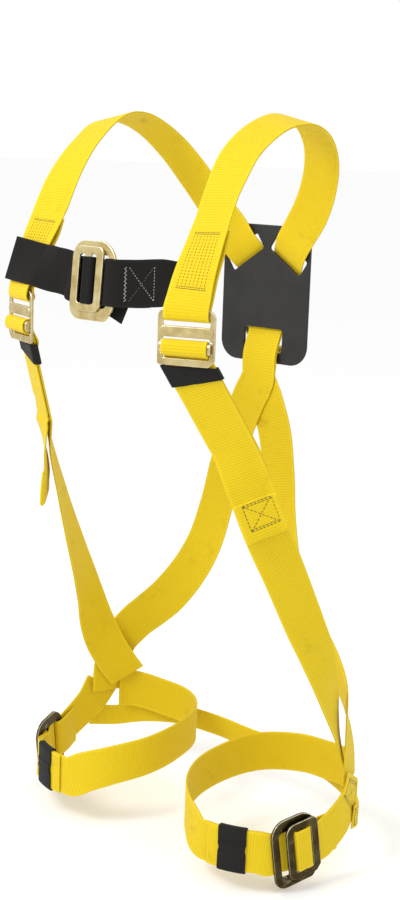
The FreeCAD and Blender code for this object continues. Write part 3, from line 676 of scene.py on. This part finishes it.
# Colour ramps. Where the webbing, elastic and plastic reach their darker stops in the hollows of weave, knit
# and grain, those stops act as painted shade.
YELLOW_SHADES = [
    (0.0, (0.32, 0.18, 0.001)), (0.35, (0.62, 0.425, 0.004)), (0.7, (0.80, 0.60, 0.012)),
    (1.0, (0.88, 0.70, 0.035))]
BLACK_SHADES = [
    (0.0, (0.0025, 0.0025, 0.002)), (0.5, (0.0075, 0.007, 0.006)), (1.0, (0.019, 0.017, 0.0145))]
GOLD_SHADES = [
    (0.25, (0.36, 0.27, 0.11)), (0.45, (0.52, 0.41, 0.18)), (0.6, (0.62, 0.52, 0.26)),
    (0.8, (0.47, 0.46, 0.27))]
BRONZE_SHADES = [
    (0.25, (0.026, 0.016, 0.006)), (0.45, (0.05, 0.035, 0.013)), (0.62, (0.09, 0.074, 0.03)),
    (0.8, (0.055, 0.055, 0.026))]
ELASTIC_SHADES = [
    (0.1, (0.003, 0.003, 0.003)), (0.6, (0.009, 0.0085, 0.008)), (1.0, (0.024, 0.022, 0.02))]
PLASTIC_SHADES = [(0.2, (0.005, 0.005, 0.0055)), (0.85, (0.015, 0.015, 0.016))]
# Bright colours for rubbed wear and for the painted highlight on the rims of the gold and bronze steel.
GOLD_WEAR_AND_HIGHLIGHT, BRONZE_WEAR_AND_HIGHLIGHT = (0.92, 0.86, 0.68), (0.78, 0.70, 0.50)
PIT_SHADE = (0.22, 0.17, 0.08)
STEEL_ROUGHNESS = 0.26

# Shades, colour of the rubbed wear and painted rim highlight, share of wear, and scale of the drifting
# shades, for each slot of plated steel.
PLATINGS = {
    "plated_steel": (GOLD_SHADES, GOLD_WEAR_AND_HIGHLIGHT, 0.35, 38),
    "bronze_steel": (BRONZE_SHADES, BRONZE_WEAR_AND_HIGHLIGHT, 0.22, 45)}

yellow_webbing = webbing_material(
    "yellow_webbing", YELLOW_SHADES, RIB / MM, 1.1, 3.2, WIDTH / MM, rough=0.55, sheen=0.06, soil=0.35)
yellow_narrow = webbing_material(
    "yellow_narrow", YELLOW_SHADES, RIB / MM, 1.0, 2.4, SEAT_WIDTH / MM, rough=0.55, sheen=0.06, soil=0.4)
black_webbing = webbing_material(
    "black_webbing", BLACK_SHADES, FINE_RIB / MM, 0.9, 3.0, WIDTH / MM, rough=0.72, sheen=0.02, soil=0.1)
brown_thread = thread_material("brown_thread", (0.014, 0.007, 0.002), (0.06, 0.032, 0.012), 0.02)
faded_thread = thread_material("faded_thread", (0.07, 0.035, 0.004), (0.20, 0.12, 0.015), 0.02)
grey_thread = thread_material("grey_thread", (0.20, 0.19, 0.17), (0.42, 0.40, 0.36))
dull_thread = thread_material("dull_thread", (0.06, 0.058, 0.05), (0.16, 0.15, 0.13))
knitted_elastic = elastic_material("knitted_elastic")
pad_plastic = moulded_plastic("pad_plastic")


# ---------------------------------------------------------------- steel hardware and dorsal pad
def steel_for(node, slot):
    """The plating of one piece of steel, its rims painted bright, as wear and as a painted highlight, where
    they turn away from the plate's flat faces.
    """
    mirror = node.endswith("right")
    if "adjuster" in node:
        facing = Place(*ADJUSTER, mirror=mirror).turn(0, 0, 1)
    elif "leg" in node:
        facing = Place(*LEG_BUCKLE, mirror=mirror).turn(0, 0, 1)
    elif "chest" in node:
        facing = Place(*CHEST_BUCKLE).turn(0, 0, 1)
    else:
        facing = None
    return plated_steel(f"steel_of_{node}", *PLATINGS[slot], facing)


def dress_hardware():
    """Gives the steel pieces and the pad of the frame their materials."""
    for part in frame["record"]["subparts"]:
        node, slot = part["node"], part["material_slot"]
        if slot in PLATINGS or slot == "pad_plastic":
            mesh = frame["nodes"][node].data
            mesh.materials.clear()
            mesh.materials.append(steel_for(node, slot) if slot in PLATINGS else pad_plastic)


dress_hardware()


# ---------------------------------------------------------------- webbing pieces
FRONTWARDS, BACKWARDS, UPWARDS, LEFTWARDS = (0, -1, 0), (0, 1, 0), (0, 0, 1), (1, 0, 0)
SIDES = {"left": 1, "right": -1}
FINE_WEAVE = {"rib": FINE_RIB, "rib_height": FINE_RIB_HEIGHT}


def joined(*routes):
    """One route out of several, with the side vectors kept the same way round."""
    whole = []
    for centre, side, out in (station for route in routes for station in route):
        if whole and side @ whole[-1][1] < 0:
            side = -side
        whole.append((np.array(centre), np.array(side), np.array(out)))
    return whole


def leaned(station, towards, share):
    """A station whose side vector is turned part of the way towards another."""
    centre, side, out = station
    towards = towards if towards @ side > 0 else -towards
    return centre, unit(side * (1 - share) + towards * share), out


def round_bar(place, centre, half, corner, start, end, across, along, inwards):
    """Stations of webbing round a bar's rounded section, sized in millimetres. `across` and `along` are the
    two axes of the section as (x, y, z) of the local frame, and the webbing's outer face turns to the bar
    where `inwards` is 1."""
    wide, tall = half[0] - corner, half[1] - corner
    steps = max(2, round(abs(end - start) / 22.5))
    stations = []
    for k in range(steps + 1):
        turn = math.radians(start + (end - start) * k / steps)
        c, s = math.cos(turn), math.sin(turn)
        x = corner * c + wide * np.clip(c * 3, -1, 1)
        y = corner * s + tall * np.clip(s * 3, -1, 1)
        local = np.array(centre) + np.array(across) * x + np.array(along) * y
        out = (np.array(across) * c + np.array(along) * s) * -inwards
        bar = np.cross(across, along)
        stations.append(place.station(*local, bar, out))
    return stations


def weave(name, strap, material, slot, nodes, bends=None, **look):
    piece = weave_strap(name, strap, material, slot, **look)
    if bends:
        body, start, end = bends
        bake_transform(piece)
        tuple(start)
        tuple(end)
    else:
        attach(piece, "webbing")
    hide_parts(*nodes)


def shoulder_strap(side):
    """From the sewn end behind the adjuster loop, over the shoulder and the back, to the opposite hip."""
    node = f"shoulder_strap_{side}"
    strap = Strap(cad_route(node, (0, -1, 1), BACKWARDS), seed=3)
    sew_shoulder_block(strap)
    weave(f"shoulder_webbing_{side}", strap, yellow_webbing, YELLOW, [node])


def torso_strap(side):
    """Up from the hip behind the adjuster, round its sliding bar, and down again as the tail."""
    place = Place(*ADJUSTER, mirror=side == "right")
    main = cad_route(f"torso_strap_{side}", UPWARDS, FRONTWARDS)
    tail = cad_route(f"torso_tail_{side}", UPWARDS, BACKWARDS)
    clear = place.point(0, -33, 0)[2]
    main = [s for s in main if s[0][2] < clear]
    tail = [s for s in tail if s[0][2] < clear]
    slanted = main[0][1]

    def passing(y, z, lean, out):
        return leaned(place.station(0, y, z, (1, 0, 0), out), slanted, lean)

    behind = [passing(-26.5, -9.1, 0.5, (0, 0.35, 0.94)), passing(-20.5, -7.2, 0.15, (0, 0.35, 0.94)),
              passing(-15.5, -4.4, 0, (0, 0.3, 0.95))]
    roll = round_bar(place, (0, -9.3, 2.6), (5.1, 6.7), 5.0, -180, -450, (0, 0, 1), (0, 1, 0), 1)
    ahead = [passing(-17.3, -0.6, 0, (0, 0.96, 0.3)), passing(-19.6, -3.3, 0.1, (0, 0.5, -0.86)),
             passing(-26.5, -6.3, 0.5, (0, -0.35, -0.94))]
    route = joined(reversed_route(main), behind, roll, ahead, tail)
    strap = Strap(route, seed=5, hem=TAIL_HEM)
    strap.relief = lambda u, v: free_tail(strap, u, v, side)
    end = strap.length
    right = math.copysign(1, strap.place([end - 20 * MM])[1][0, 0])
    crossed_box(strap, end - 39 * MM, end - 12 * MM, 15 * MM, "brown", -1, 2, 1.5 * MM * right, 4.0 * MM)
    row(strap, (-20 * MM, 14 * MM), (20 * MM, 14 * MM), "brown", 1)
    bends = (f"adjuster_bar_{side}", place.point(0, -25, 0), place.point(0, -15, 0))
    nodes = [f"{part}_{side}" for part in ("torso_strap", "torso_tail", "adjuster_roll")]
    weave(f"torso_webbing_{side}", strap, yellow_webbing, YELLOW, nodes, bends)


def free_tail(strap, u, v, side):
    """The end of a torso tail stands off the strap below it, its outer edge curled up a little."""
    right = math.copysign(1, strap.place([strap.length - 20 * MM])[1][0, 0])
    tip = ramp(v, strap.length - 70 * MM, strap.length)
    curl = ramp(u * right, 13 * MM, 23 * MM) * ramp(v, strap.length - 110 * MM, strap.length - 50 * MM)
    return -(TAIL_RISE * tip * tip + TAIL_CURL * curl) * (1 if side == "left" else 0.6)


def leg_strap(side):
    """From behind the thigh to its buckle, round the tongue's centre bar, and back over itself as a tail."""
    place = Place(*LEG_BUCKLE, mirror=side == "right", lift=RIGHT_LIFT if side == "right" else 0)
    main = cad_route(f"leg_strap_inner_{side}", place.turn(0, 0, 1), place.turn(0, 0, 1))
    tail = cad_route(f"leg_tail_{side}", place.turn(0, 0, 1), place.turn(0, 0, -1))

    def passing(x, z, out):
        return place.station(x, 1.5, z, (0, 1, 0), out)

    behind = [passing(-7, 0.2, (-0.4, 0, 0.92)), passing(-1, 3.2, (-0.5, 0, 0.86)),
              passing(4, 5.9, (-0.3, 0, 0.95))]
    roll = round_bar(place, (6, 1.5, 9.4), (9.2, 2.8), 2.4, -80, 180, (1, 0, 0), (0, 0, 1), 1)
    ahead = [passing(-4.2, 7.3, (0.8, 0, -0.6)), passing(-7.5, 4.2, (0.6, 0, -0.8))]
    strap = Strap(joined(reversed_route(main), behind, roll, ahead, tail), seed=7)
    bends = (f"leg_tongue_{side}", place.point(0, 0, 0.5), place.point(0, 0, 7))
    nodes = [f"{part}_{side}" for part in ("leg_strap_inner", "leg_tail", "leg_roll")]
    weave(f"leg_webbing_{side}", strap, yellow_webbing, YELLOW, nodes, bends)


def leg_hip_strap(side):
    node = f"leg_strap_outer_{side}"
    outwards = (SIDES[side], 0, 0)
    strap = Strap(cad_route(node, UPWARDS, outwards), seed=9)
    crossed_box(strap, 5 * MM, 31 * MM, 16 * MM, "faded", 1, 3)
    weave(f"leg_hip_webbing_{side}", strap, yellow_webbing, YELLOW, [node])


def chest_strap():
    """From the right shoulder strap to the buckle, over the tongue's centre bar, and on behind as a tail."""
    place = Place(*CHEST_BUCKLE)
    main = cad_route("chest_strap_right", LEFTWARDS, FRONTWARDS)
    tail = cad_route("chest_tail", (-1, 0, 0), FRONTWARDS)

    def passing(x, z, out):
        return place.station(x, 0, z, (0, 1, 0), out)

    before = [passing(-11.3, 3.2, (-0.8, 0, 0.6))]
    roll = round_bar(place, (-3.6, 0, 7.5), (6.2, 2.6), 2.2, 180, 0, (1, 0, 0), (0, 0, 1), -1)
    after = [passing(3.0, 4.4, (0.98, 0, 0.2)), passing(5.5, 0.6, (0.7, 0, 0.7))]
    strap = Strap(joined(reversed_route(main), before, roll, after, tail[1:]), seed=11)
    bends = ("chest_tongue", place.point(0, 0, 1.5), place.point(0, 0, 6))
    nodes = ["chest_strap_right", "chest_tail", "chest_roll"]
    weave("chest_webbing_right", strap, black_webbing, BLACK, nodes, bends, **FINE_WEAVE)


def chest_strap_left():
    strap = Strap(cad_route("chest_strap_left", LEFTWARDS, FRONTWARDS), seed=13)
    outer, inner = (strap.nearest(x=x, within=(0, 0.55)) for x in (0.0715, 0.0435))
    up = math.copysign(1, strap.place([inner])[1][0, 2])
    low, high = -17 * MM * up, 15.5 * MM * up
    sparse = {"pitch": 3.0 * MM, "tight": False}
    row(strap, (low, outer), (high, outer), "grey", **sparse)
    stitch(strap, zigzag((low, inner - 1.5 * MM), (high, inner - 1.5 * MM), 1.2 * MM, 1.9 * MM), "grey")
    row(strap, (high, inner - 5 * MM), (low, outer), "grey", **sparse)
    row(strap, (low, inner - 5 * MM), (high, outer), "dull", **sparse)
    weave("chest_webbing_left", strap, black_webbing, BLACK, ["chest_strap_left"], **FINE_WEAVE)


def seat_strap():
    strap = Strap(cad_route("sub_pelvic_strap", LEFTWARDS, LEFTWARDS), width=SEAT_WIDTH, seed=15)
    for low in (4 * MM, strap.length - 34 * MM):
        crossed_box(strap, low, low + 28 * MM, 9 * MM, "faded", 1, 2)
    weave("sub_pelvic_webbing", strap, yellow_narrow, YELLOW, ["sub_pelvic_strap"])


for make in (shoulder_strap, torso_strap, leg_strap, leg_hip_strap):
    for each in SIDES:
        make(each)
chest_strap()
chest_strap_left()
seat_strap()


# ---------------------------------------------------------------- elastic keepers
def rounded_section(wide, deep, corner):
    """Across, out and their outward direction at close points round a rectangle with rounded corners."""
    rows = []
    for k in range(4):
        x = (wide / 2 - corner) * (1, -1, -1, 1)[k]
        z = (deep / 2 - corner) * (1, 1, -1, -1)[k]
        for turn in np.radians(np.linspace(90 * k, 90 * k + 90, CORNER_POINTS)):
            c, s = math.cos(turn), math.sin(turn)
            rows.append((x + corner * c, z + corner * s, c, s))
        if k % 2 == 0:
            up = 1 if k == 0 else -1
            for share in np.linspace(0, 1, BAND_POINTS)[1:-1]:
                rows.append((x + (-x - x) * share, z + corner * up, 0, up))
    return np.array(rows)


def keeper(name, body, inside, at, span, ridge):
    """An elastic sleeve, open at both ends, on the body and the CAD node of the same name. `at` makes points
    from across, out and along in millimetres. `span` gives the two ends along the strap at (across, out), and
    `ridge` the height of the overlap of the elastic's own ends."""
    x, z, nx, nz = rounded_section(*inside, KEEPER_CORNER).T
    start, end = span(x, z)
    around = np.concatenate([[0], np.cumsum(np.hypot(np.diff(x), np.diff(z)))])
    shares = np.linspace(0, 1, KEEPER_ROWS)
    loop = [(share, 1.0) for share in shares] + [(1, 0.55), (1, 0.12)]
    loop += [(share, 0.0) for share in (0.97, 0.7, 0.3, 0.03)] + [(0, 0.12), (0, 0.55)]
    points, uvs = [], []
    for share, wall in loop:
        along = start + (end - start) * share
        cord = BAND_RELIEF * np.abs(np.sin(math.pi * along / BAND_CORD)) if wall == 1 else 0
        hem = BAND_HEM * (abs(share - 0.5) > 0.47) * (wall == 1)
        thick = BAND_THICK * wall + (cord - hem + ridge(x, z)) * (wall > 0.5)
        points.append(at(x + nx * thick, z + nz * thick, along))
        uvs.append(np.stack([along, around], 1) * MM)
    faces = tube_faces(len(loop) + 1, len(x)) % (len(loop) * len(x))
    points = np.concatenate(points)
    corner = points[faces[0]]
    if np.cross(corner[1] - corner[0], corner[3] - corner[0]) @ (corner[0] - points.mean(0)) < 0:
        faces = faces[:, ::-1]
    piece = make_object(name, points, faces, knitted_elastic, np.concatenate(uvs))
    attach(piece, body)
    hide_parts(body)


def torso_keeper(side):
    """Round both layers under the adjuster, its upper edge level and its lower edge rising outwards."""
    place = Place(*ADJUSTER, mirror=side == "right")
    route = cad_route(f"torso_tail_{side}", UPWARDS, FRONTWARDS)
    run = unit(route[4][0] - route[0][0])
    out = unit(route[0][2] - run * (route[0][2] @ run))
    across = np.cross(out, -run)
    across *= math.copysign(1, across @ place.turn(1, 0, 0))
    top = route[0][0] - out * (LAYER + 0.3 * MM) / 2

    def level_and_rise(vector):
        return np.array([vector @ place.turn(*axis) for axis in ((1, 0, 0), (0, 1, 0))])

    axes = [level_and_rise(v) for v in (across, out, run)]
    base = level_and_rise(top - place.centre * place.flip) / MM

    def at(x, z, s):
        return top + (np.outer(x, across) + np.outer(z, out) + np.outer(s, run)) * MM

    def span(x, z):
        ends = []
        for slope, level in ((0.0, KEEPER_TOP), (KEEPER_SLOPE, KEEPER_LOW)):
            here = [base[k] + axes[0][k] * x + axes[1][k] * z for k in (0, 1)]
            rate = axes[2][1] - slope * axes[2][0]
            ends.append((level + slope * here[0] - here[1]) / rate)
        wavy = 0.35 * waver(x + 40, 21 + SIDES[side], 9)
        return ends[0] + KEEPER_TRIM + wavy, ends[1] - KEEPER_TRIM + wavy[::-1]

    def ridge(x, z):
        return 0.55 * ramp(x, -12.5, -11.5) * ramp(x, 12.5, 11.5) * (z < 0)

    keeper(f"torso_elastic_{side}", f"torso_keeper_{side}", TORSO_KEEPER_INSIDE, at, span, ridge)


def leg_keeper(side):
    """Round the leg strap and its tail on the front of the thigh, its overlap sewn at mid-height."""
    lift = RIGHT_LIFT if side == "right" else 0

    def at(x, z, s):
        turn = np.radians(LEG_KEEPER_AZIMUTH) + s / THIGH_RADIUS
        reach = THIGH_RADIUS + LAYER / MM / 2 + z
        outer, front = THIGH_AXIS[0] + reach * np.sin(turn), THIGH_AXIS[1] - reach * np.cos(turn)
        return np.stack([outer, front, THIGH_Z + x], 1) * MM * [SIDES[side], 1, 1] + [0, 0, lift]

    def span(x, z):
        pulled = 1.3 * np.exp(-((x - 1) / 4) ** 2) * (z > 0)
        wavy = 0.3 * waver(x + 40, 31 + SIDES[side], 8)
        return -LEG_KEEPER_REACH + pulled + wavy, LEG_KEEPER_REACH - pulled + wavy

    def ridge(x, z):
        overlap = 0.75 * ramp(x, -5.5, -4.7) * ramp(x, 7.5, 6.7)
        sewn = 0.3 * np.exp(-((x - 1) / 1.1) ** 2)
        return (overlap - sewn) * (z > 0)

    keeper(f"leg_elastic_{side}", f"leg_keeper_{side}", LEG_KEEPER_INSIDE, at, span, ridge)


for each in SIDES:
    torso_keeper(each)
    leg_keeper(each)

# ---------------------------------------------------------------- thread
THREADS = {"brown": (brown_thread, YELLOW, 0.36), "faded": (faded_thread, YELLOW, 0.33),
           "grey": (grey_thread, BLACK, 0.34), "dull": (dull_thread, BLACK, 0.26)}
for thread, work in jobs.items():
    material, slot, thick = THREADS[thread]
    sew(f"{thread}_stitches", work, material, slot, "webbing", thick * MM)

# ---------------------------------------------------------------- camera, light and floor
YAW, PITCH, ROLL = (math.radians(v) for v in (40, 11.3, 2))
DISTANCE, CAMERA_Z, SIDEWAYS = 1.55, -0.038, 0.015
LENS, SENSOR = 60, 36
FLOOR_REACH, FLOOR_GAP, FLOOR_SHADE = 60.0, 0.004, 0.97


def make_camera():
    back = np.array([math.sin(YAW) * math.cos(PITCH), -math.cos(YAW) * math.cos(PITCH), math.sin(PITCH)])
    level = np.array([math.cos(YAW), math.sin(YAW), 0])
    up = np.cross(back, level)
    right = level * math.cos(ROLL) + up * math.sin(ROLL)
    above = up * math.cos(ROLL) - level * math.sin(ROLL)
    camera = bpy.data.objects.new("camera", bpy.data.cameras.new("camera"))
    camera.data.lens, camera.data.sensor_width = LENS, SENSOR
    where = np.array([math.sin(YAW), -math.cos(YAW), 0]) * DISTANCE + level * SIDEWAYS + [0, 0, CAMERA_Z]
    camera.matrix_world = Matrix.Translation(where) @ Matrix(np.stack([right, above, back], 1)).to_4x4()
    bpy.context.scene.collection.objects.link(camera)
    bpy.context.scene.camera = camera


def area_light(name, place, aim, size, power):
    data = bpy.data.lights.new(name, "AREA")
    data.shape, data.size, data.energy = "DISK", size, power
    lamp = bpy.data.objects.new(name, data)
    direction = Vector(place) - Vector(aim)
    lamp.matrix_world = Matrix.Translation(place) @ direction.to_track_quat("Z", "Y").to_matrix().to_4x4()
    bpy.context.scene.collection.objects.link(lamp)


def make_studio():
    low = cad_box[0].z - FLOOR_GAP
    n = Nodes("studio_floor")
    n.set(Base_Color=(FLOOR_SHADE, FLOOR_SHADE, FLOOR_SHADE, 1), Roughness=0.9, Specular_IOR_Level=0.0)
    corners = [(x * FLOOR_REACH, y * FLOOR_REACH, low) for x, y in ((-1, -1), (1, -1), (1, 1), (-1, 1))]
    floor = make_object("floor", corners, [[0, 1, 2, 3]], n.material)
    floor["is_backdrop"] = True
    area_light("key", (-0.3, -1.25, 0.75), (0.05, -0.1, -0.12), 0.7, 13)
    area_light("top", (0.3, -0.3, 1.8), (0, 0, -0.1), 0.9, 4)
    world = bpy.data.worlds.new("studio")
    world.use_nodes = True
    world.node_tree.nodes["Background"].inputs["Color"].default_value = (1, 1, 1, 1)
    world.node_tree.nodes["Background"].inputs["Strength"].default_value = 1.0
    bpy.context.scene.world = world
    bpy.context.scene.view_settings.view_transform = "Standard"


make_camera()
make_studio()

boxes = {"cad": cad_box, "visual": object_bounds()}
{name: [list(corner) for corner in box] for name, box in boxes.items()}
